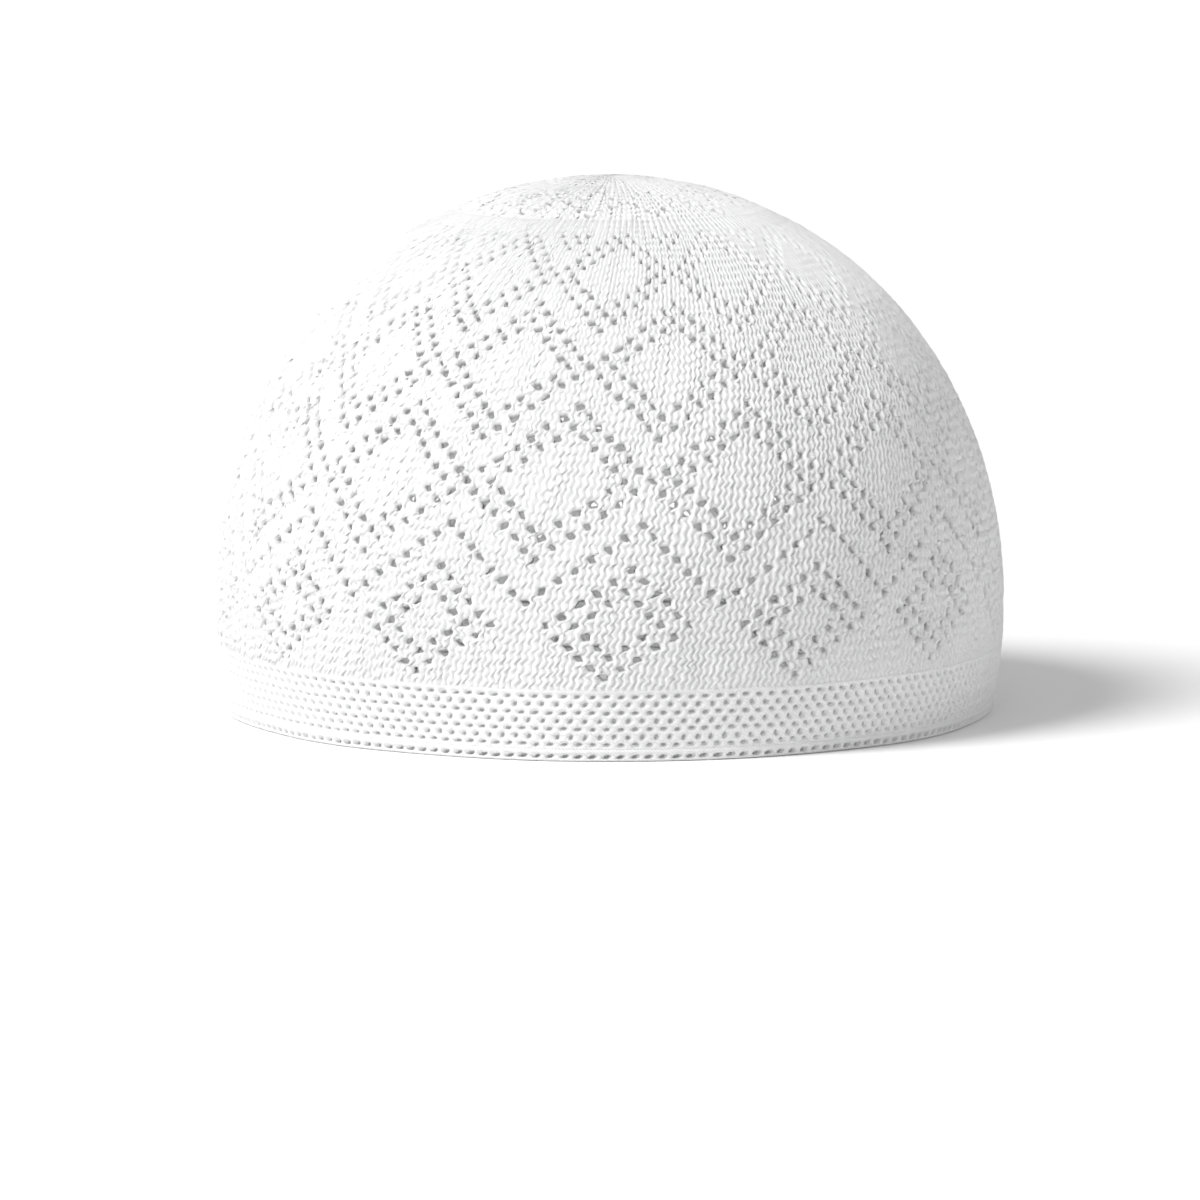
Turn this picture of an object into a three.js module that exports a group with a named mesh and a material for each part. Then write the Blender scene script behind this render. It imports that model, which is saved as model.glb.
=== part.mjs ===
// A knitted kufi: a close-fitting brimless cap, about 165 mm wide, 196 mm long and 112 mm high.
// One knitted fabric rises from a turned-up double band into an oval dome. A rolled edging runs
// round the rim, where the band is folded, and a second one finishes the hem inside the cap.
// Millimetres, +Z up, the front faces -Y. The origin is the middle of the oval that the rim rests on.

import * as THREE from "three";

// The outside of the cap, a smooth form through the rim's oval, the widest oval and the crown's top.
const rimHalfWidth = 80;
const rimHalfLength = 95;
const widestHalfWidth = 82.5;
const widestHalfLength = 98;
const widestHeight = 26;
const capHeight = 112;

// The fabric. The band is a finer knit turned up inside, so it is two layers with a narrow gap.
const crownThickness = 1.5;
const bandThickness = 1.2;
const layerGap = 0.3;
const bandHeight = 14.2;
const foldDepth = 1.5;

// The rolled edgings. The rim's is as wide as both layers and flattened where it rests, and the
// hem's ends level with the top of the band.
const rimEdgingHeight = 2;
const rimEdgingProud = 0.2;
const rimRestWidth = 1.4;
const hemEdgingHeight = 1.7;
const hemEdgingProud = 0.2;

// Neighbouring pieces are knitted to each other, and keep this gap as solids.
const seatGap = 0.3;

// How finely the curves are faceted.
const sidesAround = 64;
const uprightSteps = 3;
const domeSteps = 15;
const bandSteps = 4;
const edgingSides = 8;

// The oval of the cap at a height, taken `inset` inside its outer face. Below the widest oval the
// wall draws in towards the rim, more and more steeply.
function ovalAt(height, inset) {
  if (height <= widestHeight) {
    const drawIn = ((widestHeight - height) / widestHeight) ** 3;
    return {
      height,
      halfWidth: widestHalfWidth - (widestHalfWidth - rimHalfWidth) * drawIn - inset,
      halfLength: widestHalfLength - (widestHalfLength - rimHalfLength) * drawIn - inset,
    };
  }
  const rise = (height - widestHeight) / (capHeight - inset - widestHeight);
  const narrowing = Math.sqrt(Math.max(0, 1 - rise * rise));
  return {
    height,
    halfWidth: (widestHalfWidth - inset) * narrowing,
    halfLength: (widestHalfLength - inset) * narrowing,
  };
}

// Ovals at even heights from one height to another, both included.
function wallOvals(fromHeight, toHeight, inset, steps) {
  const ovals = [];
  for (let i = 0; i <= steps; i++) {
    ovals.push(ovalAt(fromHeight + ((toHeight - fromHeight) * i) / steps, inset));
  }
  return ovals;
}

// Ovals over the dome, from a height up to its top, closer together in height where it flattens.
function domeOvals(fromHeight, inset) {
  const springHeight = Math.max(fromHeight, widestHeight);
  const reach = capHeight - inset - widestHeight;
  const firstAngle = Math.asin((springHeight - widestHeight) / reach);
  const ovals = [];
  for (let i = 0; i < domeSteps; i++) {
    const angle = firstAngle + ((Math.PI / 2 - firstAngle) * i) / domeSteps;
    ovals.push(ovalAt(widestHeight + reach * Math.sin(angle), inset));
  }
  ovals.push({ height: capHeight - inset, halfWidth: 0, halfLength: 0 });
  return ovals;
}

// One face of the crown: the upright stretch up to the widest oval, then the dome.
function crownFace(fromHeight, inset) {
  if (fromHeight >= widestHeight) return domeOvals(fromHeight, inset);
  const upright = wallOvals(fromHeight, widestHeight, inset, uprightSteps);
  return [...upright.slice(0, -1), ...domeOvals(widestHeight, inset)];
}

// Turns a run of ovals round the Z axis: a lathe whose depth is stretched to each oval's own length.
function ovalLathe(ovals) {
  const profile = ovals.map((oval) => new THREE.Vector2(oval.halfWidth, oval.height));
  const geometry = new THREE.LatheGeometry(profile, sidesAround).rotateX(Math.PI / 2);
  const position = geometry.getAttribute("position");
  for (let i = 0; i < position.count; i++) {
    const oval = ovals[i % ovals.length];
    if (oval.halfWidth > 0) {
      position.setY(i, (position.getY(i) * oval.halfLength) / oval.halfWidth);
    }
  }
  return geometry;
}

// A closed loop of ovals, for a ring.
function ovalRing(ovals) {
  return ovalLathe([...ovals, ovals[0]]);
}

// The crown: a single layer of knit, open below, standing on the band's outer layer.
function crownGeometry() {
  const edgeHeight = bandHeight + seatGap;
  const outside = crownFace(edgeHeight, 0);
  const inside = crownFace(edgeHeight, crownThickness);
  return ovalLathe([...inside.reverse(), ...outside]);
}

// Where the band's layers lie: the insets of the outer one's back and of the inner one's back and
// face, and the height of the inner one, which leaves room for the hem's edging.
const outerLayerBack = bandThickness;
const innerLayerBack = bandThickness + layerGap;
const innerLayerFace = 2 * bandThickness + layerGap;
const hemHeight = bandHeight - hemEdgingHeight - seatGap;

// The band: an outer layer up to the crown's edge, folded at the bottom into a lower inner layer.
function bandGeometry() {
  const foldHeight = rimEdgingHeight + seatGap;
  const slotHeight = foldHeight + foldDepth;
  const foldRound = bandThickness / 2;
  return ovalRing([
    ...wallOvals(foldHeight + foldRound, bandHeight, 0, bandSteps),
    ...wallOvals(bandHeight, slotHeight, outerLayerBack, bandSteps),
    ...wallOvals(slotHeight, hemHeight, innerLayerBack, bandSteps),
    ...wallOvals(hemHeight, foldHeight + foldRound, innerLayerFace, bandSteps),
    ovalAt(foldHeight, innerLayerFace - foldRound),
    ovalAt(foldHeight, foldRound),
  ]);
}

// A rolled edging: an oval roll, from `lowHeight` up, between two insets. Its foot is cut flat to
// `footWidth`, where it rests or seats.
function edgingGeometry({ lowHeight, rollHeight, outerInset, innerInset, footWidth }) {
  const halfThickness = (innerInset - outerInset) / 2;
  const footAngle = Math.asin(Math.min(1, footWidth / 2 / halfThickness));
  const halfHeight = rollHeight / (1 + Math.cos(footAngle));
  const centreHeight = lowHeight + halfHeight * Math.cos(footAngle);
  const ovals = [];
  for (let i = 0; i <= edgingSides; i++) {
    const angle = footAngle + ((2 * Math.PI - 2 * footAngle) * i) / edgingSides;
    const inset = outerInset + halfThickness * (1 - Math.sin(angle));
    const height = centreHeight - halfHeight * Math.cos(angle);
    ovals.push({ ...ovalAt(centreHeight, inset), height });
  }
  return ovalRing(ovals);
}

function rimEdgingGeometry() {
  return edgingGeometry({
    lowHeight: 0,
    rollHeight: rimEdgingHeight,
    outerInset: -rimEdgingProud,
    innerInset: innerLayerFace + rimEdgingProud,
    footWidth: rimRestWidth,
  });
}

function hemEdgingGeometry() {
  return edgingGeometry({
    lowHeight: hemHeight + seatGap,
    rollHeight: hemEdgingHeight,
    outerInset: outerLayerBack + seatGap,
    innerInset: innerLayerFace + hemEdgingProud,
    footWidth: bandThickness / 2,
  });
}

function knit(color, roughness) {
  return new THREE.MeshStandardMaterial({ color, roughness, metalness: 0 });
}

const openworkKnit = knit(0xf2f2f0, 0.9);
const meshKnit = knit(0xf0f0ee, 0.9);
const rolledKnit = knit(0xf5f5f3, 0.85);

const kufi = new THREE.Group();
for (const [name, geometry, material] of [
  ["crown", crownGeometry(), openworkKnit],
  ["band", bandGeometry(), meshKnit],
  ["rim_edging", rimEdgingGeometry(), rolledKnit],
  ["hem_edging", hemEdgingGeometry(), rolledKnit],
]) {
  const piece = new THREE.Mesh(geometry, material);
  piece.name = name;
  kufi.add(piece);
}

export default kufi;
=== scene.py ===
# The looks of a white openwork kufi: a knitted dome cap with a lattice of eyelets and a double mesh band.
# Every piece is knitted flat, in stitches along X and Y with its depth in metres along Z, and is then
# drawn round the cap's own form.
import math

import bpy
import numpy as np
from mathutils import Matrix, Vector


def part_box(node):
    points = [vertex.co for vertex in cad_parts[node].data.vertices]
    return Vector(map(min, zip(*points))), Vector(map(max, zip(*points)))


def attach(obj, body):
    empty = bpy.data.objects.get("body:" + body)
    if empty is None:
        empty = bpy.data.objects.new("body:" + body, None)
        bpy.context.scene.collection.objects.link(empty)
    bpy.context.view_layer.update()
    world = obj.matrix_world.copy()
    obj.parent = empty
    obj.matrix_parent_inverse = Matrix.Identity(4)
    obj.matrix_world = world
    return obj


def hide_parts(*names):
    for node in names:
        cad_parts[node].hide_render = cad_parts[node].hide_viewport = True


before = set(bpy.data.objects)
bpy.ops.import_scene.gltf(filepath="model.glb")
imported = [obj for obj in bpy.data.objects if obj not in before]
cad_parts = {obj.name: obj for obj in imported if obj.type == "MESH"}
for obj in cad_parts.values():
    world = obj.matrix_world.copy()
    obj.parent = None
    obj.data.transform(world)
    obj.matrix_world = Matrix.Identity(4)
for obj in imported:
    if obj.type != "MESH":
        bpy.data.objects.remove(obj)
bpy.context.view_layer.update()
bpy.ops.object.select_all(action="DESELECT")
print("frame loaded")

# The cap's form, as the frame has it
capForm = {
    "widestHeight": 0.026,  # where the oval is largest
    "rimNarrower": 0.0025,  # how far the rim draws in at the sides
    "rimShorter": 0.003,  # and at the front and back
    "tableSteps": 600,
    "lowTableSteps": 60,
    "swellDepth": 0.00022,
    "swells": [(3, 40, 0.4), (5, -70, 2.1), (8, 55, 1.3), (11, -90, 4.0)],  # times round, turns up, start
    "calmTop": 0.02,  # the swells fade out this far below the top
}
crownLow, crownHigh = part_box("crown")
bandLow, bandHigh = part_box("band")
rimLow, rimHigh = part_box("rim_edging")
hemLow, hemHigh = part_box("hem_edging")
halfWidth, halfLength, capTop = crownHigh

# The gauge of the knit: how the stitches lie on the form
gauge = {
    "walesAround": 392,
    "repeats": 14,
    "frontWale": 197.5,  # the column at the middle of the front, on the first row of eyelets
    "lean": 0.203,  # columns that the knit leans to the right with each course
    "leanFrom": 2.5,
    "coursePitch": 0.00106,  # at the band
    "coursePitchHigh": 0.00116,  # from steadyCourse up
    "steadyCourse": 36,
    "courses": 132,
}


# How far a height lies below the widest oval and above it, as shares, and how narrow the cap is there
def sharesAt(height):
    widest = capForm["widestHeight"]
    drop = np.clip((widest - height) / widest, 0, 1)
    rise = np.clip((height - widest) / (capTop - widest), 0, 1)
    return drop, rise, np.sqrt(1 - rise**2)


def ovalHalves(height):
    drop, rise, narrowing = sharesAt(height)
    across = (halfWidth - capForm["rimNarrower"] * drop**3) * narrowing
    along = (halfLength - capForm["rimShorter"] * drop**3) * narrowing
    return across, along


# Tables that turn a length up the wall into a height, and a share of the way round into an angle
domeAngles = np.linspace(0, math.pi / 2, capForm["tableSteps"])
domeHeights = capForm["widestHeight"] + (capTop - capForm["widestHeight"]) * np.sin(domeAngles)
lowHeights = np.linspace(0, capForm["widestHeight"], capForm["lowTableSteps"])
tableHeights = np.concatenate([lowHeights[:-1], domeHeights])
meanRadii = np.sqrt(np.prod(ovalHalves(tableHeights), axis=0))
tableArcs = np.concatenate([[0], np.cumsum(np.hypot(np.diff(tableHeights), np.diff(meanRadii)))])
tableTurns = np.linspace(-math.pi, math.pi, 2 * capForm["tableSteps"] + 1)
ovalSteps = np.hypot(halfWidth * np.diff(np.sin(tableTurns)), halfLength * np.diff(np.cos(tableTurns)))
tableShares = np.concatenate([[0], np.cumsum(ovalSteps)]) / ovalSteps.sum() - 0.5


def arcOfCourse(course):
    low = np.minimum(course, gauge["steadyCourse"])
    widening = (gauge["coursePitchHigh"] - gauge["coursePitch"]) / gauge["steadyCourse"]
    arc = gauge["coursePitch"] * low + widening * low**2 / 2
    return arc + gauge["coursePitchHigh"] * np.maximum(course - gauge["steadyCourse"], 0)


crownFirstArc = np.interp(bandHigh.z - 0.0001, tableHeights, tableArcs)
crownArc = tableArcs[-1] - crownFirstArc
courseStretch = crownArc / arcOfCourse(gauge["courses"])


def heightOfCourse(course):
    return np.interp(crownFirstArc + arcOfCourse(course) * courseStretch, tableArcs, tableHeights)


# The cloth isn't quite even: slow swells in and out, the same on every piece
def clothSwell(turn, height):
    swell = np.zeros_like(turn)
    for turns, perMetre, phase in capForm["swells"]:
        swell += np.sin(turns * turn + perMetre * height + phase)
    calm = np.clip((capTop - height) / capForm["calmTop"], 0, 1)
    return capForm["swellDepth"] * swell * calm


# A point of the cap's surface and the way out of it, from a share of the way round and a height
def surfaceAt(share, height):
    turn = np.interp((share + 0.5) % 1 - 0.5, tableShares, tableTurns)
    swell = clothSwell(turn, height)
    across, along = (half + swell for half in ovalHalves(height))
    foot = np.stack([across * np.sin(turn), -along * np.cos(turn), height], -1)
    drop, rise, narrowing = sharesAt(height)
    slope = 3 * drop**2 / capForm["widestHeight"]
    upward = (
        rise / (capTop - capForm["widestHeight"])
        - slope * capForm["rimNarrower"] * np.sin(turn) ** 2 / halfWidth**2
        - slope * capForm["rimShorter"] * np.cos(turn) ** 2 / halfLength**2
    )
    sideways = narrowing * np.sin(turn) / halfWidth
    out = np.stack([sideways, -narrowing * np.cos(turn) / halfLength, upward], -1)
    return foot, out / np.linalg.norm(out, axis=-1, keepdims=True)


def readPoints(piece):
    points = np.empty(len(piece.data.vertices) * 3)
    piece.data.vertices.foreach_get("co", points)
    return points.reshape(-1, 3)


def writePoints(piece, points):
    piece.data.vertices.foreach_set("co", points.ravel())
    piece.data.update()


def faceCentres(piece):
    centres = np.empty(len(piece.data.polygons) * 3)
    piece.data.polygons.foreach_get("center", centres)
    return centres.reshape(-1, 3)


# The places of both ends of every edge
def edgeEnds(piece):
    ends = np.empty(len(piece.data.edges) * 2, np.int32)
    piece.data.edges.foreach_get("vertices", ends)
    first, second = readPoints(piece)[ends.reshape(-1, 2).T]
    return first, second


# Selects some elements of a piece, the rest are let go, and runs one edit mode operator on them
def edit(piece, kind, chosen, operator, **settings):
    bpy.ops.object.select_all(action="DESELECT")
    piece.select_set(True)
    bpy.context.view_layer.objects.active = piece
    elements = {"VERT": piece.data.vertices, "EDGE": piece.data.edges, "FACE": piece.data.polygons}
    for name, group in elements.items():
        group.foreach_set("select", chosen if name == kind else np.zeros(len(group), bool))
    bpy.context.tool_settings.mesh_select_mode = tuple(name == kind for name in elements)
    bpy.ops.object.mode_set(mode="EDIT")
    operator(**settings)
    bpy.ops.object.mode_set(mode="OBJECT")


def finishWith(piece, kind, **settings):
    bpy.ops.object.select_all(action="DESELECT")
    piece.select_set(True)
    bpy.context.view_layer.objects.active = piece
    modifier = piece.modifiers.new(kind.lower(), kind)
    for name, value in settings.items():
        setattr(modifier, name, value)
    bpy.ops.object.modifier_apply(modifier=modifier.name)


# A flat grid of stitches, `wales` wide and from one course to another, with a UV map that counts them
def addStitchGrid(name, wales, firstCourse, lastCourse):
    bpy.ops.object.select_all(action="DESELECT")
    courses = lastCourse - firstCourse
    bpy.ops.mesh.primitive_grid_add(x_subdivisions=wales, y_subdivisions=courses, size=1)
    piece = bpy.context.object
    piece.name = piece.data.name = name
    piece.scale = (wales, courses, 1)
    piece.location = (wales / 2, firstCourse + courses / 2, 0)
    bpy.ops.object.transform_apply(location=True, rotation=False, scale=True)
    stitchMap = piece.data.uv_layers[0]
    stitchMap.name = "stitches"
    uv = np.empty(len(stitchMap.data) * 2)
    stitchMap.data.foreach_get("uv", uv)
    uv = uv.reshape(-1, 2) * (wales, courses) + (0, firstCourse)
    stitchMap.data.foreach_set("uv", uv.ravel())
    return piece


def repeatAround(piece, count, wales):
    finishWith(
        piece,
        "ARRAY",
        count=count,
        use_relative_offset=False,
        use_constant_offset=True,
        constant_offset_displace=(wales, 0, 0),
        use_merge_vertices=True,
        merge_threshold=0.01,
    )


# Joins the two ends where a strip has gone all the way round, and smooths it
def closeRound(piece):
    everyVertex = np.ones(len(piece.data.vertices), bool)
    edit(piece, "VERT", everyVertex, bpy.ops.mesh.remove_doubles, threshold=1e-6)
    bpy.ops.object.shade_smooth()


# Shader sums, written as sums: a socket of a node tree with the usual operators
class Amount:
    def __init__(self, tree, socket):
        self.tree = tree
        self.socket = socket

    def sum(self, operation, *others):
        made = addNode(self.tree, "ShaderNodeMath", {"operation": operation}, dict(enumerate(others)))
        return Amount(self.tree, made.outputs[0])

    def __add__(self, other):
        return self.sum("ADD", self, other)

    def __sub__(self, other):
        return self.sum("SUBTRACT", self, other)

    def __rsub__(self, other):
        return self.sum("SUBTRACT", other, self)

    def __mul__(self, other):
        return self.sum("MULTIPLY", self, other)

    def __pow__(self, other):
        return self.sum("POWER", self, other)

    def fraction(self):
        return self.sum("FRACT", self)

    def sine(self):
        return self.sum("SINE", self)

    __radd__ = __add__
    __rmul__ = __mul__


def addNode(tree, kind, settings=None, values=None):
    node = tree.nodes.new(kind)
    for name, value in (settings or {}).items():
        setattr(node, name, value)
    for name, value in (values or {}).items():
        if isinstance(value, Amount):
            tree.links.new(value.socket, node.inputs[name])
        else:
            node.inputs[name].default_value = value
    return node


# Cotton yarn: near white, dull and slightly fluffy. The stitches count along the piece's own UV map.
cottonYarn = {
    "white": (0.92, 0.92, 0.92),
    # the darkest tone, reached in slow random patches and as painted shade in the grooves between stitches
    "darkPatchAndGrooveShade": (0.74, 0.742, 0.745),
    "roughness": 0.88,
    "sheen": 0.25,
    "sheenRoughness": 0.6,
    "fluffScale": 2600,
    "fluffDepth": 0.00008,
    "blotchScale": 90,
    "stitchDepth": 0.00016,
    "plyDepth": 0.00002,
    "loopSlant": 0.35,
    "loopRelief": 0.35,  # how much a stitch stands out from its column
    "netRelief": 0.25,  # the mesh and the edgings are finer
    "patchy": 0.25,  # what makes the tone: slow blotches, painted shade in the grooves between the stitches, and the fluff
    "grooveShadeTone": 0.5,
    "fluffTone": 0.25,
    "gloss": 0.3,
    "glow": 0.22,  # light that passes through the yarn
    "glowReach": 0.0015,
}


def mixCotton(name, kind, paleness=1):
    material = bpy.data.materials.new(name)
    material.use_nodes = True
    tree = material.node_tree
    shader = tree.nodes["Principled BSDF"]
    stitches = addNode(tree, "ShaderNodeUVMap", {"uv_map": "stitches"})
    axes = addNode(tree, "ShaderNodeSeparateXYZ", None, {0: Amount(tree, stitches.outputs[0])})
    wale, course = (Amount(tree, axes.outputs[index]) for index in (0, 1))
    place = Amount(tree, addNode(tree, "ShaderNodeTexCoord").outputs["Object"])
    fluff = addNode(
        tree, "ShaderNodeTexNoise", None, {"Vector": place, "Scale": cottonYarn["fluffScale"], "Detail": 3}
    )
    blotch = addNode(
        tree, "ShaderNodeTexNoise", None, {"Vector": place, "Scale": cottonYarn["blotchScale"], "Detail": 2}
    )
    fluff, blotch = (Amount(tree, node.outputs[0]) for node in (fluff, blotch))
    if kind == "stockinette":
        across = wale.fraction() - 0.5
        ridge = 1 - (2 * across) ** 2
        along = (course + cottonYarn["loopSlant"] * across).fraction()
        loop = 1 - (2 * along - 1) ** 2
        stitch = ridge * (1 - cottonYarn["loopRelief"] + cottonYarn["loopRelief"] * loop)
        ply = ((course * 3 - across * 4) * (2 * math.pi)).sine()
        ridgeHeight = addNode(tree, "ShaderNodeAttribute", {"attribute_name": "ridgeHeight"})
        stitchDepth = cottonYarn["stitchDepth"] * Amount(tree, ridgeHeight.outputs["Fac"])
    else:
        stitch = 0.5 + 0.5 * ((wale + course) * (4 * math.pi)).sine()
        ply = ((wale * 2 + course * 3) * (2 * math.pi)).sine()
        stitchDepth = cottonYarn["stitchDepth"] * cottonYarn["netRelief"]
    surface = stitch * stitchDepth + ply * cottonYarn["plyDepth"] + fluff * cottonYarn["fluffDepth"]
    bump = addNode(tree, "ShaderNodeBump", None, {"Height": surface, "Distance": 1.0, "Strength": 1.0})
    # The tone darkens in slow random patches and, as painted shade, in the grooves and low places of the
    # stitch relief
    patchesAndGrooveShade = cottonYarn["patchy"] * blotch + cottonYarn["grooveShadeTone"] * stitch
    darkest, palest = ((*(paleness * tone for tone in cottonYarn[end]), 1) for end in ("darkPatchAndGrooveShade", "white"))
    tones = {"Factor": patchesAndGrooveShade + cottonYarn["fluffTone"] * fluff, 6: darkest, 7: palest}
    tint = addNode(tree, "ShaderNodeMix", {"data_type": "RGBA"}, tones)
    tree.links.new(tint.outputs[2], shader.inputs["Base Color"])
    tree.links.new(bump.outputs[0], shader.inputs["Normal"])
    uniform = {
        "Roughness": cottonYarn["roughness"],
        "Sheen Weight": cottonYarn["sheen"],
        "Sheen Roughness": cottonYarn["sheenRoughness"],
        "Specular IOR Level": cottonYarn["gloss"],
        "Subsurface Weight": cottonYarn["glow"],
        "Subsurface Radius": (1, 1, 1),
        "Subsurface Scale": cottonYarn["glowReach"],
    }
    for name, value in uniform.items():
        shader.inputs[name].default_value = value
    return material


crownCotton = mixCotton("openworkCotton", "stockinette")
bandCotton = mixCotton("meshCotton", "net")
edgingCotton = mixCotton("rolledCotton", "net")
dimpleShadeCotton = mixCotton("paintedShadeCotton", "net", 0.62)  # the lower layer, seen down in the net's dimples: a darker copy of the cotton, painted shade
print("cotton mixed")

# Crown: the openwork knit
openwork = {
    "thickness": 0.0014,
    "groove": 0.0005,  # depth between two columns of stitches
    "waist": 0.00004,  # depth between two stitches of a column
    "zigzag": 0.26,  # how far the columns sway from course to course, in columns
    "outOfStep": 0.45,  # and how unevenly
    "swayVaries": 0.5,
    "holeWidth": 0.66,  # half sizes of an eyelet, in columns and courses
    "holeHeight": 0.92,
    "holeVaries": 0.16,
    "innerHole": 0.74,  # the inside of an eyelet is narrower
    "holeTilt": 0.22,
    "tiltBias": 0.35,  # most eyelets tilt to the right
    "tiltReach": 2.2,
    "holePush": 0.3,  # how far the stitches round an eyelet are pushed aside
    "lip": 0.0003,  # how far the knit rolls in at an eyelet
    "plump": 0.00014,  # and how far it swells beside it
    "plumpAt": 1.4,
    "plumpSpread": 0.35,
    "uneven": 0.0001,
    "drift": 0.16,  # slow wandering of the columns and courses
    "driftWaves": 7,
    "driftPerCourse": 0.35,
    "stagger": 0.3,  # how far a column's stitches lie above or below its neighbours'
    "looseness": 0.1,  # how far single stitches stray
    "tucked": 0.00025,  # how far the first course dips into the band
    "merging": 8,  # courses over which two columns become one
    "narrowest": 0.2,
    "leastRidge": 0.4,  # how much of a column's ridge is left where they merge
    "ridgeReturns": 4,  # courses after which it is whole again
    "cuts": (2, 1),  # that shape a stitch, across and up
    "seeds": {"columns": 5, "courses": 6, "outOfStep": 7, "stitches": 11},
}

# One row for each tier: its courses, the columns in one repeat, and the ends that meet another gauge
crownTiers = [
    {"name": "crown_tier_1", "first": 0, "last": 24, "wales": 28, "joins": ("first",)},
    {"name": "crown_tier_2", "first": 24, "last": 48, "wales": 28, "joins": ()},
    {"name": "crown_tier_3", "first": 48, "last": 72, "wales": 28, "joins": ()},
    {"name": "crown_tier_4", "first": 72, "last": 100, "wales": 28, "joins": ("last",), "cuts": (2, 0)},
    {"name": "crown_top_1", "first": 100, "last": 118, "wales": 14, "joins": ("first", "last")},
    {"name": "crown_top_2", "first": 118, "last": 127, "wales": 7, "joins": ("first", "last")},
    {"name": "crown_top_3", "first": 127, "last": 132, "wales": 3.5, "joins": ("first", "last")},
]

# The pattern's own sizes, in eyelets: lines of a lattice, drawn twice, with a diamond in each of its meshes
lattice = {
    "firstCourse": 2,
    "tierRows": 11,
    "lineSteps": 8,
    "secondLine": 4,
    "diamond": 5,
    "firstDiamonds": (5, 3),
    "firstLine": 7,
    "rows": 47,
    "topDiamond": 3,
    "topDiamondCourse": 108,
}


# Eyelets of a diamond, as offsets of columns and rows from its middle
def diamondSites(size):
    steps = range(-size, size + 1)
    return {(2 * step, side * (size - abs(step))) for step in steps for side in (-1, 1)}


# All eyelets of one repeat, as a column and a course each
def eyeletSites():
    repeat = round(gauge["walesAround"] / gauge["repeats"])
    sites = set()
    for size in lattice["firstDiamonds"]:
        sites |= {(wale, row + lattice["diamond"]) for wale, row in diamondSites(size)}
    row = lattice["firstLine"]
    middle = repeat // 2
    while row < lattice["rows"]:
        for step in range(lattice["lineSteps"]):
            for side in (-1, 1):
                sites.add((middle + 2 * side * step, row + step))
                sites.add((middle + 2 * side * step, row + lattice["secondLine"] + step))
        for wale, diamondRow in diamondSites(lattice["diamond"]):
            sites.add((middle + wale, row + lattice["tierRows"] + diamondRow))
        row += lattice["tierRows"]
        middle += repeat // 2
    return {
        (wale % repeat, lattice["firstCourse"] + 2 * siteRow)
        for wale, siteRow in sites
        if siteRow < lattice["rows"]
    }


# The eyelets of the small diamonds near the top, where a repeat has half as many columns
def topSites():
    repeat = round(gauge["walesAround"] / gauge["repeats"] / 2)
    return {
        (wale % repeat, lattice["topDiamondCourse"] + 2 * row)
        for wale, row in diamondSites(lattice["topDiamond"])
    }


def holeTable(tier):
    table = np.zeros((math.ceil(tier["wales"]), gauge["courses"] + 1), bool)
    sites = {28: eyeletSites(), 14: topSites()}.get(tier["wales"], set())
    for wale, course in sites:
        table[wale, course] = True
    return table


# Slow waves round the cap that keep the rows and columns from being perfectly even
def drift(wales, courses, walesAround, seed, slowest=3, quickest=60):
    waves = np.random.default_rng(seed)
    total = np.zeros_like(wales)
    for _ in range(openwork["driftWaves"]):
        turns = waves.integers(slowest, quickest)
        perCourse = waves.uniform(-openwork["driftPerCourse"], openwork["driftPerCourse"])
        phase = waves.uniform(0, 2 * math.pi)
        total += np.sin(2 * math.pi * turns * wales / walesAround + perCourse * courses + phase)
    return total / openwork["driftWaves"] ** 0.5


# How wide a column is against the widest, and how far two columns have become one below a joint
def columnWidth(tier, courses):
    narrowing = np.interp(heightOfCourse(courses), tableHeights, meanRadii) / meanRadii.max()
    width = narrowing * gauge["walesAround"] / (tier["wales"] * gauge["repeats"])
    width = np.clip(width, openwork["narrowest"], 1)
    merging = min(openwork["merging"], (tier["last"] - tier["first"]) / 2)
    if "last" not in tier["joins"] or tier["last"] == gauge["courses"]:
        return width, 0 * width
    return width, np.clip(1 - (tier["last"] - courses) / merging, 0, 1)


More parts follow.
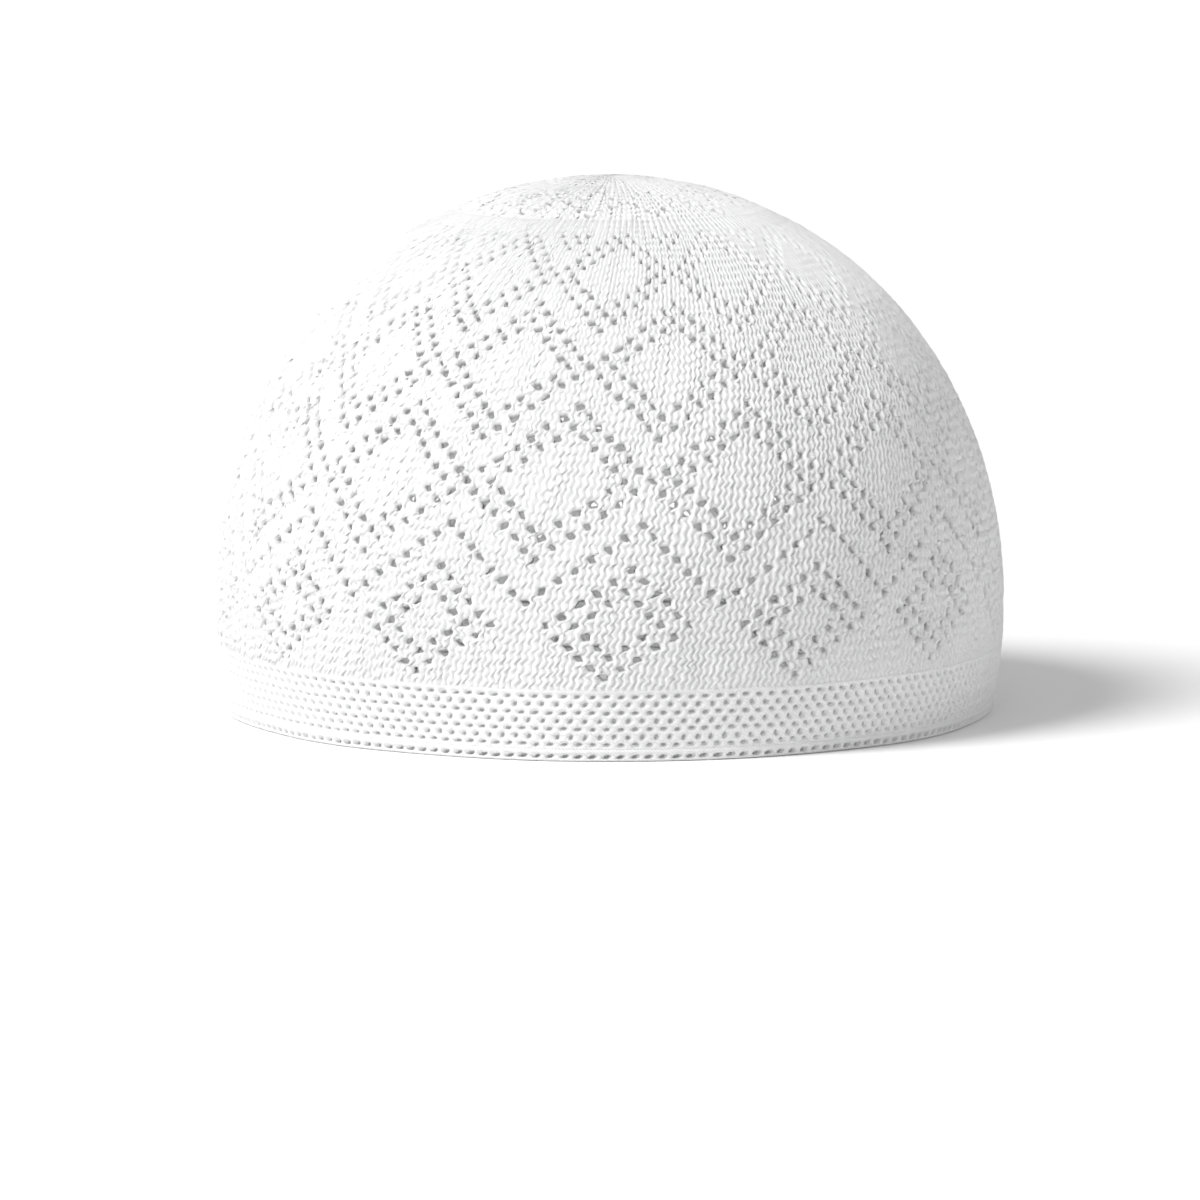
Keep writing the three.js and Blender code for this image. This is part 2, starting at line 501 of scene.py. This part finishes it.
# Rounds the eyelets and raises the stitches of a flat tier
def shapeStitches(piece, tier, holes):
    points = readPoints(piece)
    wales, courses, depth = points.T
    walesAround = round(tier["wales"] * gauge["repeats"])
    outer = depth > -openwork["thickness"] / 2
    seeds = openwork["seeds"]
    chance = np.random.default_rng(seeds["stitches"])
    tone = chance.uniform(-1, 1, (6, walesAround, gauge["courses"] + 2))
    stitch = (np.floor(wales + 0.01).astype(int) % walesAround, np.floor(courses + 0.01).astype(int))
    onGroove = np.abs(wales - np.round(wales)) < 0.1
    onWaist = np.abs(courses - np.round(courses)) < 0.1
    width, merged = columnWidth(tier, courses)
    goesOn = np.round(wales).astype(int) % 2 == 0
    grooves = openwork["groove"] * width * np.where(goesOn, onGroove + merged, onGroove * (1 - merged))
    relief = width * openwork["uneven"] * tone[0][stitch] - grooves
    relief -= np.where(onWaist, openwork["waist"], 0)
    outOfStep = openwork["outOfStep"] * drift(wales, courses, walesAround, seeds["outOfStep"], 30, 90)
    sway = openwork["zigzag"] * np.cos(math.pi * (courses + outOfStep))
    steady = np.ones(len(points))
    for joint in tier["joins"]:
        steady *= np.clip(np.abs(courses - tier[joint]), 0, 1)
    sway = sway * (1 + openwork["swayVaries"] * tone[4][stitch])
    stray = openwork["looseness"] * tone[5][stitch]
    wander = openwork["drift"] * drift(wales, courses, walesAround, seeds["columns"])
    newWales = wales + steady * (sway + stray + wander)
    wander = openwork["drift"] * drift(wales, courses, walesAround, seeds["courses"])
    newCourses = courses + steady * (openwork["stagger"] * tone[4][stitch[0], 0] + wander)
    shift = np.zeros((len(points), 2))
    onRing = np.zeros(len(points), bool)
    for columnStep in (-1, 0, 1):
        for rowStep in (-1, 0, 1):
            column = np.floor(wales + 0.01).astype(int) + columnStep
            row = np.clip(np.floor(courses + 0.01).astype(int) + rowStep, 0, gauge["courses"])
            near = holes[column % holes.shape[0], row]
            eyelet = (column[near] % walesAround, row[near])
            across = wales[near] - column[near] - 0.5
            up = courses[near] - row[near] - 0.5
            wide = openwork["holeWidth"] * (1 + openwork["holeVaries"] * tone[2][eyelet])
            high = openwork["holeHeight"] * (1 + openwork["holeVaries"] * tone[3][eyelet])
            tilt = openwork["holeTilt"] * (openwork["tiltBias"] + tone[1][eyelet])
            reach = np.hypot(across / wide, up / high)
            ring = (np.abs(across) < 0.51) & (np.abs(up) < 0.51)
            pushed = reach + openwork["holePush"] * np.exp(-((2 * reach - 2) ** 2))
            ringSize = np.where(outer[near], 1, openwork["innerHole"])
            grown = np.where(ring, ringSize, pushed) / reach
            fade = np.clip(openwork["tiltReach"] - reach, 0, 1)
            shift[near, 0] += across * (grown - 1) + tilt * up * grown * fade
            shift[near, 1] += up * (grown - 1)
            beside = (pushed - openwork["plumpAt"]) / openwork["plumpSpread"]
            relief[near] += openwork["plump"] * np.exp(-(beside**2))
            onRing[np.flatnonzero(near)[ring]] = True
    relief[onRing] = -openwork["lip"]
    for joint in tier["joins"]:
        offJoint = np.clip(np.abs(courses - tier[joint]), 0, 1)
        atJoint = -openwork["tucked"] if tier[joint] in (0, gauge["courses"]) else -grooves
        relief = relief * offJoint + atJoint * (1 - offJoint)
    newWales += shift[:, 0]
    newCourses += shift[:, 1]
    newDepth = np.where(outer, depth + relief, depth)
    writePoints(piece, np.stack([newWales, newCourses, newDepth], -1))
    whole = 1 - merged
    if tier["first"] > 0 and "first" in tier["joins"]:
        whole = np.minimum(whole, (courses - tier["first"]) / openwork["ridgeReturns"])
    ridgeHeight = piece.data.attributes.new("ridgeHeight", "FLOAT", "POINT")
    ridgeHeight.data.foreach_set("value", width * np.clip(whole, openwork["leastRidge"], 1))


# Draws a flat tier of the crown over the dome
def wrapTier(piece, tier):
    wales, courses, depth = readPoints(piece).T
    scale = gauge["walesAround"] / (tier["wales"] * gauge["repeats"])
    lean = gauge["lean"] * (courses - gauge["leanFrom"])
    share = (wales * scale + lean - gauge["frontWale"]) / gauge["walesAround"]
    foot, out = surfaceAt(share, heightOfCourse(courses))
    writePoints(piece, foot + out * depth[:, None])


def knitTier(tier):
    holes = holeTable(tier)
    repeats = gauge["repeats"]
    wales = tier["wales"]
    if wales != round(wales):
        repeats = repeats // 2
        wales = round(2 * wales)
    piece = addStitchGrid(tier["name"], wales, tier["first"], tier["last"])
    column, row = np.floor(faceCentres(piece)[:, :2]).astype(int).T
    eyelets = holes[column % holes.shape[0], row]
    edit(piece, "FACE", eyelets, bpy.ops.mesh.delete, type="FACE")
    repeatAround(piece, repeats, wales)
    finishWith(piece, "SOLIDIFY", thickness=openwork["thickness"], offset=-1)
    centres = faceCentres(piece)
    row = np.clip(np.floor(centres[:, 1]).astype(int), 0, gauge["courses"])
    ends = np.abs(centres[:, 0] / (wales * repeats) - 0.5) > 0.4999
    ends &= ~(holes[0, row] | holes[-1, row])
    ends |= np.abs(centres[:, 1] - gauge["courses"]) < 1e-4
    edit(piece, "FACE", ends, bpy.ops.mesh.delete, type="FACE")
    first, second = edgeEnds(piece)
    middle = (first + second) / 2
    holeSides = np.zeros(len(middle), int)
    for side in (-0.01, 0.01):
        step = np.where(np.abs(first[:, :2] - second[:, :2]) < 0.1, side, 0)
        column, row = np.floor(middle[:, :2] + step).astype(int).T
        row = np.clip(row, 0, gauge["courses"])
        holeSides += holes[column % holes.shape[0], row]
    inner = (first[:, 2] < -1e-6) & (second[:, 2] < -1e-6)
    edit(piece, "EDGE", inner & (holeSides == 1), bpy.ops.mesh.subdivide, number_cuts=1)
    first, second = edgeEnds(piece)
    middle = (first + second) / 2
    span = np.abs(first - second)
    inner = (first[:, 2] < -1e-6) & (second[:, 2] < -1e-6)
    line = np.round(middle[:, 0]).astype(int)
    upright = inner & (span[:, 0] < 0.1) & (line % 2 == 1)
    for rowStep in (-1, 0, 1):
        row = np.clip(np.floor(middle[:, 1]).astype(int) + rowStep, 0, gauge["courses"])
        upright &= ~(holes[(line - 1) % holes.shape[0], row] | holes[line % holes.shape[0], row])
    edit(piece, "EDGE", upright, bpy.ops.mesh.dissolve_edges, use_verts=True)
    for direction, cuts in enumerate(tier.get("cuts", openwork["cuts"])):
        first, second = edgeEnds(piece)
        span = np.abs(first - second)
        outside = (first[:, 2] > -1e-6) & (second[:, 2] > -1e-6)
        along = outside & (span[:, direction] > 0.1) & (span[:, 1 - direction] < 0.1)
        if cuts > 0:
            edit(piece, "EDGE", along, bpy.ops.mesh.subdivide, number_cuts=cuts)
    first, second = edgeEnds(piece)
    for end in ("first", "last"):
        atEnd = np.maximum(np.abs(first[:, 1] - tier[end]), np.abs(second[:, 1] - tier[end])) < 1e-4
        edit(piece, "EDGE", atEnd, bpy.ops.mesh.mark_sharp)
    shapeStitches(piece, tier, holes)
    wrapTier(piece, tier)
    closeRound(piece)
    print(tier["name"], len(piece.data.vertices), "points")
    return piece


for tier in crownTiers:
    piece = knitTier(tier)
    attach(piece, "root")
    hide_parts("crown")
    piece.data.materials.append(crownCotton)
print("crown knitted")


# Band and edgings: knit strips rolled to their shape. A strip is made as one column of stitches, two wales
# wide, that is repeated round the cap. Its rows follow a closed line of heights and depths, in millimetres.
meshKnit = {
    "wales": 2,  # for each dimple
    "rowHeight": 0.00165,
    "insets": (0.2, 0.1),  # how far the two rings of a dimple are first drawn in
    "staggered": 0.16,
    "rim": 0.0003,  # how far the edge of a dimple lies below the crest of the net
    "deep": 0.00115,
    "holeWidth": 0.58,
    "holeHeight": 0.4,
    "taper": 0.86,
    "flatter": 0.16,  # rows alternate between flat and tall dimples
    "tilt": 0.22,
    "varies": 0.14,
    "shift": 0.07,
    "bead": 0.00035,  # how plump the stitches of an edging stand between its holes
    "beadSlant": 0.75,
    "firstSeed": 20,
}
bandTop = 1000 * bandHigh.z
hemFoot = 1000 * hemLow.z
hemTop = 1000 * hemHigh.z
rimTop = 1000 * rimHigh.z

bandStrips = [
    {
        "name": "band_outside",
        "node": "band",
        "slot": "mesh_knit",
        "start": (bandTop, -1.1),
        "rows": [
            ("plain", 1, 2.6, -1.25),
            ("plain", 1, 2.2, -0.8),
            ("plain", 1, 2.25, -0.25),
            ("plain", 1, 2.6, -0.02),
            ("mesh", 7, bandTop - 0.05, 0),
            ("plain", 1, bandTop + 0.5, -0.1),
            ("plain", 1, bandTop + 0.5, -0.8),
            ("plain", 1, bandTop, -1.1),
        ],
    },
    {
        "name": "band_inside",
        "node": "band",
        "slot": "mesh_knit",
        "start": (hemFoot - 0.3, -1.6),
        "rows": [
            ("plain", 1, hemFoot - 0.3, -2.4),
            ("plain", 1, hemFoot - 0.7, -2.7),
            ("plain", 1, 11.05, -2.7),
            ("mesh", 5, 2.8, -2.7),
            ("plain", 1, 2.4, -2.5),
            ("plain", 1, 2.3, -1.9),
            ("plain", 1, 2.5, -1.4),
            ("plain", 1, hemFoot - 0.3, -1.6),
        ],
    },
    {
        "name": "rim_edging_knit",
        "node": "rim_edging",
        "slot": "rolled_knit",
        "start": (rimTop + 0.1, -2.4),
        "rows": [
            ("plain", 1, rimTop - 0.2, -2.8),
            ("mesh", 1, 0.5, -2.85),
            ("plain", 1, 0.1, -2.5),
            ("plain", 1, 0, -1.9),
            ("plain", 1, 0, -0.7),
            ("plain", 1, 0.06, -0.05),
            ("plain", 1, 0.3, 0.2),
            ("plain", 1, 0.55, 0),
            ("bead", 1, 1.7, 0.06),
            ("plain", 1, rimTop + 0.5, 0.04),
            ("plain", 1, rimTop + 0.7, -0.5),
            ("plain", 1, rimTop + 0.1, -2.4),
        ],
    },
    {
        "name": "hem_edging_knit",
        "node": "hem_edging",
        "slot": "rolled_knit",
        "start": (hemTop, -1.6),
        "rows": [
            ("plain", 1, hemTop, -2.5),
            ("plain", 1, hemTop - 0.25, -2.85),
            ("plain", 1, hemTop - 0.5, -2.6),
            ("bead", 1, hemTop - 1.45, -2.6),
            ("plain", 1, hemFoot, -2.45),
            ("plain", 1, hemFoot, -1.6),
            ("plain", 1, hemTop, -1.6),
        ],
    },
]


# The kind of each row of a strip, and the height and depth of each line between rows, in metres
def stripRows(strip):
    kinds = []
    lines = [strip["start"]]
    for kind, count, height, depth in strip["rows"]:
        beforeHeight, beforeDepth = lines[-1]
        for step in range(1, count + 1):
            part = step / count
            lines.append(
                (beforeHeight + (height - beforeHeight) * part, beforeDepth + (depth - beforeDepth) * part)
            )
            kinds.append(kind)
    return kinds, np.array(lines) / 1000


# Gives each dimple its own rounded, slanted outline, and raises the beads of an edging
def shapeDimples(piece, kinds, seed):
    points = readPoints(piece)
    wales, rows, level = points.T
    chance = np.random.default_rng(seed).uniform(-1, 1, (5, gauge["walesAround"] + 4, len(kinds) + 1))
    ring = np.round(-level).astype(int)
    inRing = ring > 0
    row = np.clip(np.floor(rows).astype(int), 0, len(kinds) - 1)
    odd = row % 2
    centre = 2 * np.floor((wales - odd) / 2) + 1 + odd
    pick = (centre.astype(int) % gauge["walesAround"], row)
    across = wales - centre
    up = 2 * (rows - row - 0.5)
    angle = np.arctan2(up, across)
    flatter = 1 + meshKnit["flatter"] * np.where(odd, 1, -1)
    size = np.where(ring == 2, meshKnit["taper"], 1)
    wide = meshKnit["holeWidth"] / flatter * size * (1 + meshKnit["varies"] * chance[0][pick])
    high = meshKnit["holeHeight"] * flatter * size * (1 + meshKnit["varies"] * chance[1][pick])
    tilt = meshKnit["tilt"] * (1 + chance[2][pick])
    isBead = np.array([kind == "bead" for kind in kinds])
    beadRow = isBead[row]
    tilt = np.where(beadRow, meshKnit["beadSlant"], tilt)
    high = np.where(beadRow, meshKnit["holeHeight"], high)
    newAcross = wide * np.cos(angle) + tilt * high * np.sin(angle) + meshKnit["shift"] * chance[3][pick]
    newUp = high * np.sin(angle) + meshKnit["shift"] * chance[4][pick]
    newWales = np.where(inRing, centre + newAcross, wales)
    newRows = np.where(inRing, row + 0.5 + newUp, rows)
    line = np.round(rows).astype(int)
    meshLine = np.zeros(len(kinds) + 1, bool)
    for index in range(1, len(kinds)):
        meshLine[index] = kinds[index] == kinds[index - 1] == "mesh"
    up = np.where(np.round(wales).astype(int) % 2 == line % 2, 1, -1)
    newRows += np.where(~inRing & meshLine[line], meshKnit["staggered"] * up, 0)
    newDepth = np.select([ring == 1, ring == 2], [-meshKnit["rim"], -meshKnit["deep"]], 0)
    beadLine = np.zeros(len(kinds) + 1, bool)
    for index, kind in enumerate(kinds):
        if kind == "bead":
            beadLine[index] = beadLine[index + 1] = True
    between = np.round(wales).astype(int) % 2 == np.round(rows - 0.5 * (rows > 0)).astype(int) % 2
    newDepth = np.where(~inRing & beadLine[line] & between, meshKnit["bead"], newDepth)
    writePoints(piece, np.stack([newWales, newRows, newDepth], -1))


# Rolls a flat strip along its closed line, and lays it round the cap
def wrapStrip(piece, lines):
    wales, rows, depth = readPoints(piece).T
    places = np.arange(len(lines))
    share = (wales - gauge["frontWale"]) / gauge["walesAround"]
    direction = np.diff(lines, axis=0)
    direction /= np.linalg.norm(direction, axis=1, keepdims=True)
    before = np.vstack([direction[-1:], direction])
    after = np.vstack([direction, direction[:1]])
    facing = before + after
    facing /= np.linalg.norm(facing, axis=1, keepdims=True)
    height = np.interp(rows, places, lines[:, 0]) - depth * np.interp(rows, places, facing[:, 1])
    inward = np.interp(rows, places, lines[:, 1]) + depth * np.interp(rows, places, facing[:, 0])
    foot, out = surfaceAt(share, height)
    out[:, 2] = 0
    out /= np.linalg.norm(out, axis=-1, keepdims=True)
    writePoints(piece, foot + out * inward[:, None])


def knitStrip(strip, seed, cotton):
    kinds, lines = stripRows(strip)
    piece = addStitchGrid(strip["name"], 3, 0, len(kinds))
    piece.data.materials.append(cotton)
    piece.data.materials.append(dimpleShadeCotton)
    columns, rows = np.floor(faceCentres(piece)[:, :2]).astype(int).T
    spare = np.where(rows % 2 == 0, columns == 2, columns == 0)
    edit(piece, "FACE", spare, bpy.ops.mesh.delete, type="FACE")
    dimpled = np.array([kind != "plain" for kind in kinds])
    first, second = edgeEnds(piece)
    middle = (first + second) / 2
    row = np.clip(np.floor(middle[:, 1]).astype(int), 0, len(kinds) - 1)
    upright = np.abs(first[:, 0] - second[:, 0]) < 0.1
    inside = upright & dimpled[row] & (np.abs(middle[:, 0] - 1 - row % 2) < 0.1)
    edit(piece, "EDGE", inside, bpy.ops.mesh.dissolve_edges, use_verts=False)
    rows = np.clip(np.floor(faceCentres(piece)[:, 1]).astype(int), 0, len(kinds) - 1)
    chosen = dimpled[rows]
    for drawnIn in meshKnit["insets"]:
        edit(piece, "FACE", chosen, bpy.ops.mesh.inset, thickness=drawnIn, depth=-1, use_individual=True)
        chosen = faceCentres(piece)[:, 2] < -0.9
    repeatAround(piece, gauge["walesAround"] // meshKnit["wales"], meshKnit["wales"])
    # The floors of the dimples take the darker copy of the cotton: painted shade
    shadedDimpleFloors = faceCentres(piece)[:, 2] < -1.9
    piece.data.polygons.foreach_set("material_index", shadedDimpleFloors.astype(np.int32))
    corners = np.empty(len(piece.data.loops), np.int32)
    piece.data.loops.foreach_get("vertex_index", corners)
    stepLengths = np.hypot(*np.diff(lines, axis=0).T)
    alongStrip = np.concatenate([[0], np.cumsum(stepLengths)]) / meshKnit["rowHeight"]
    flat = readPoints(piece)[corners]
    uv = np.stack([flat[:, 0], np.interp(flat[:, 1], np.arange(len(lines)), alongStrip)], -1)
    piece.data.uv_layers["stitches"].data.foreach_set("uv", uv.ravel())
    shapeDimples(piece, kinds, seed)
    wrapStrip(piece, lines)
    closeRound(piece)
    finishWith(piece, "SUBSURF", levels=1, render_levels=1)
    bpy.ops.object.shade_smooth()
    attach(piece, "root")
    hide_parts(strip["node"])
    print(piece.name, "knitted")


stripCotton = {"mesh_knit": bandCotton, "rolled_knit": edgingCotton}
for number, strip in enumerate(bandStrips):
    knitStrip(strip, meshKnit["firstSeed"] + number, stripCotton[strip["slot"]])
print("band and edgings knitted")

# Studio: a pale floor, a large soft light from the upper left, and a white room
studio = {
    "floorRadius": 60,
    "floorTone": (0.93, 0.93, 0.93, 1),
    "floorRoughness": 0.9,
    "floorGloss": 0.1,
    "roomTone": (1, 1, 1, 1),
    "roomStrength": 0.48,
    "keyStrength": 2.75,
    "softness": 24,  # degrees
    "keyHeight": 46,
    "keySide": -56,
    "fillStrength": 0.18,
    "fillHeight": 22,
    "fillSide": 48,
    "passedLight": 0.052,  # watts that the thin knit lets through to its inside
    "passedHeight": 0.05,
    "passedSize": 0.03,
}
bpy.ops.object.select_all(action="DESELECT")
bpy.ops.mesh.primitive_circle_add(vertices=96, radius=studio["floorRadius"], fill_type="NGON")
floor = bpy.context.object
floor.name = floor.data.name = "studio_floor"
floorPaint = bpy.data.materials.new("floorPaint")
floorPaint.use_nodes = True
floorShader = floorPaint.node_tree.nodes["Principled BSDF"]
floorShader.inputs["Base Color"].default_value = studio["floorTone"]
floorShader.inputs["Roughness"].default_value = studio["floorRoughness"]
floorShader.inputs["Specular IOR Level"].default_value = studio["floorGloss"]
floor.data.materials.append(floorPaint)

for name in ("key", "fill"):
    lightTurn = (math.radians(90 - studio[name + "Height"]), 0, math.radians(studio[name + "Side"]))
    bpy.ops.object.light_add(type="SUN", location=(0, -1, 1.5), rotation=lightTurn)
    light = bpy.context.object
    light.name = name + "Light"
    light.data.energy = studio[name + "Strength"]
    light.data.angle = math.radians(studio["softness"])

bpy.ops.object.light_add(type="POINT", location=(0, 0, studio["passedHeight"]))
insideLight = bpy.context.object
insideLight.name = "insideLight"
insideLight.data.energy = studio["passedLight"]
insideLight.data.shadow_soft_size = studio["passedSize"]

room = bpy.data.worlds.new("whiteRoom")
bpy.context.scene.world = room
room.use_nodes = True
roomLight = room.node_tree.nodes["Background"]
roomLight.inputs["Color"].default_value = studio["roomTone"]
roomLight.inputs["Strength"].default_value = studio["roomStrength"]

# Camera: a little above the rim, and far enough off to flatten the cap as the photo does
view = {"distance": 1.8, "elevation": 6, "frameWidth": 0.2526, "aim": (-0.002, 0, 0.0225), "farEnd": 200}
aim = Vector(view["aim"])
rise = math.radians(view["elevation"])
cameraPlace = aim + view["distance"] * Vector((0, -math.cos(rise), math.sin(rise)))
bpy.ops.object.camera_add(location=cameraPlace, rotation=(math.pi / 2 - rise, 0, 0))
camera = bpy.context.object
camera.name = "photoCamera"
camera.data.lens = camera.data.sensor_width * view["distance"] / view["frameWidth"]
camera.data.clip_end = view["farEnd"]
bpy.context.scene.camera = camera
bpy.context.scene.view_settings.view_transform = "Standard"
print("studio and camera set")
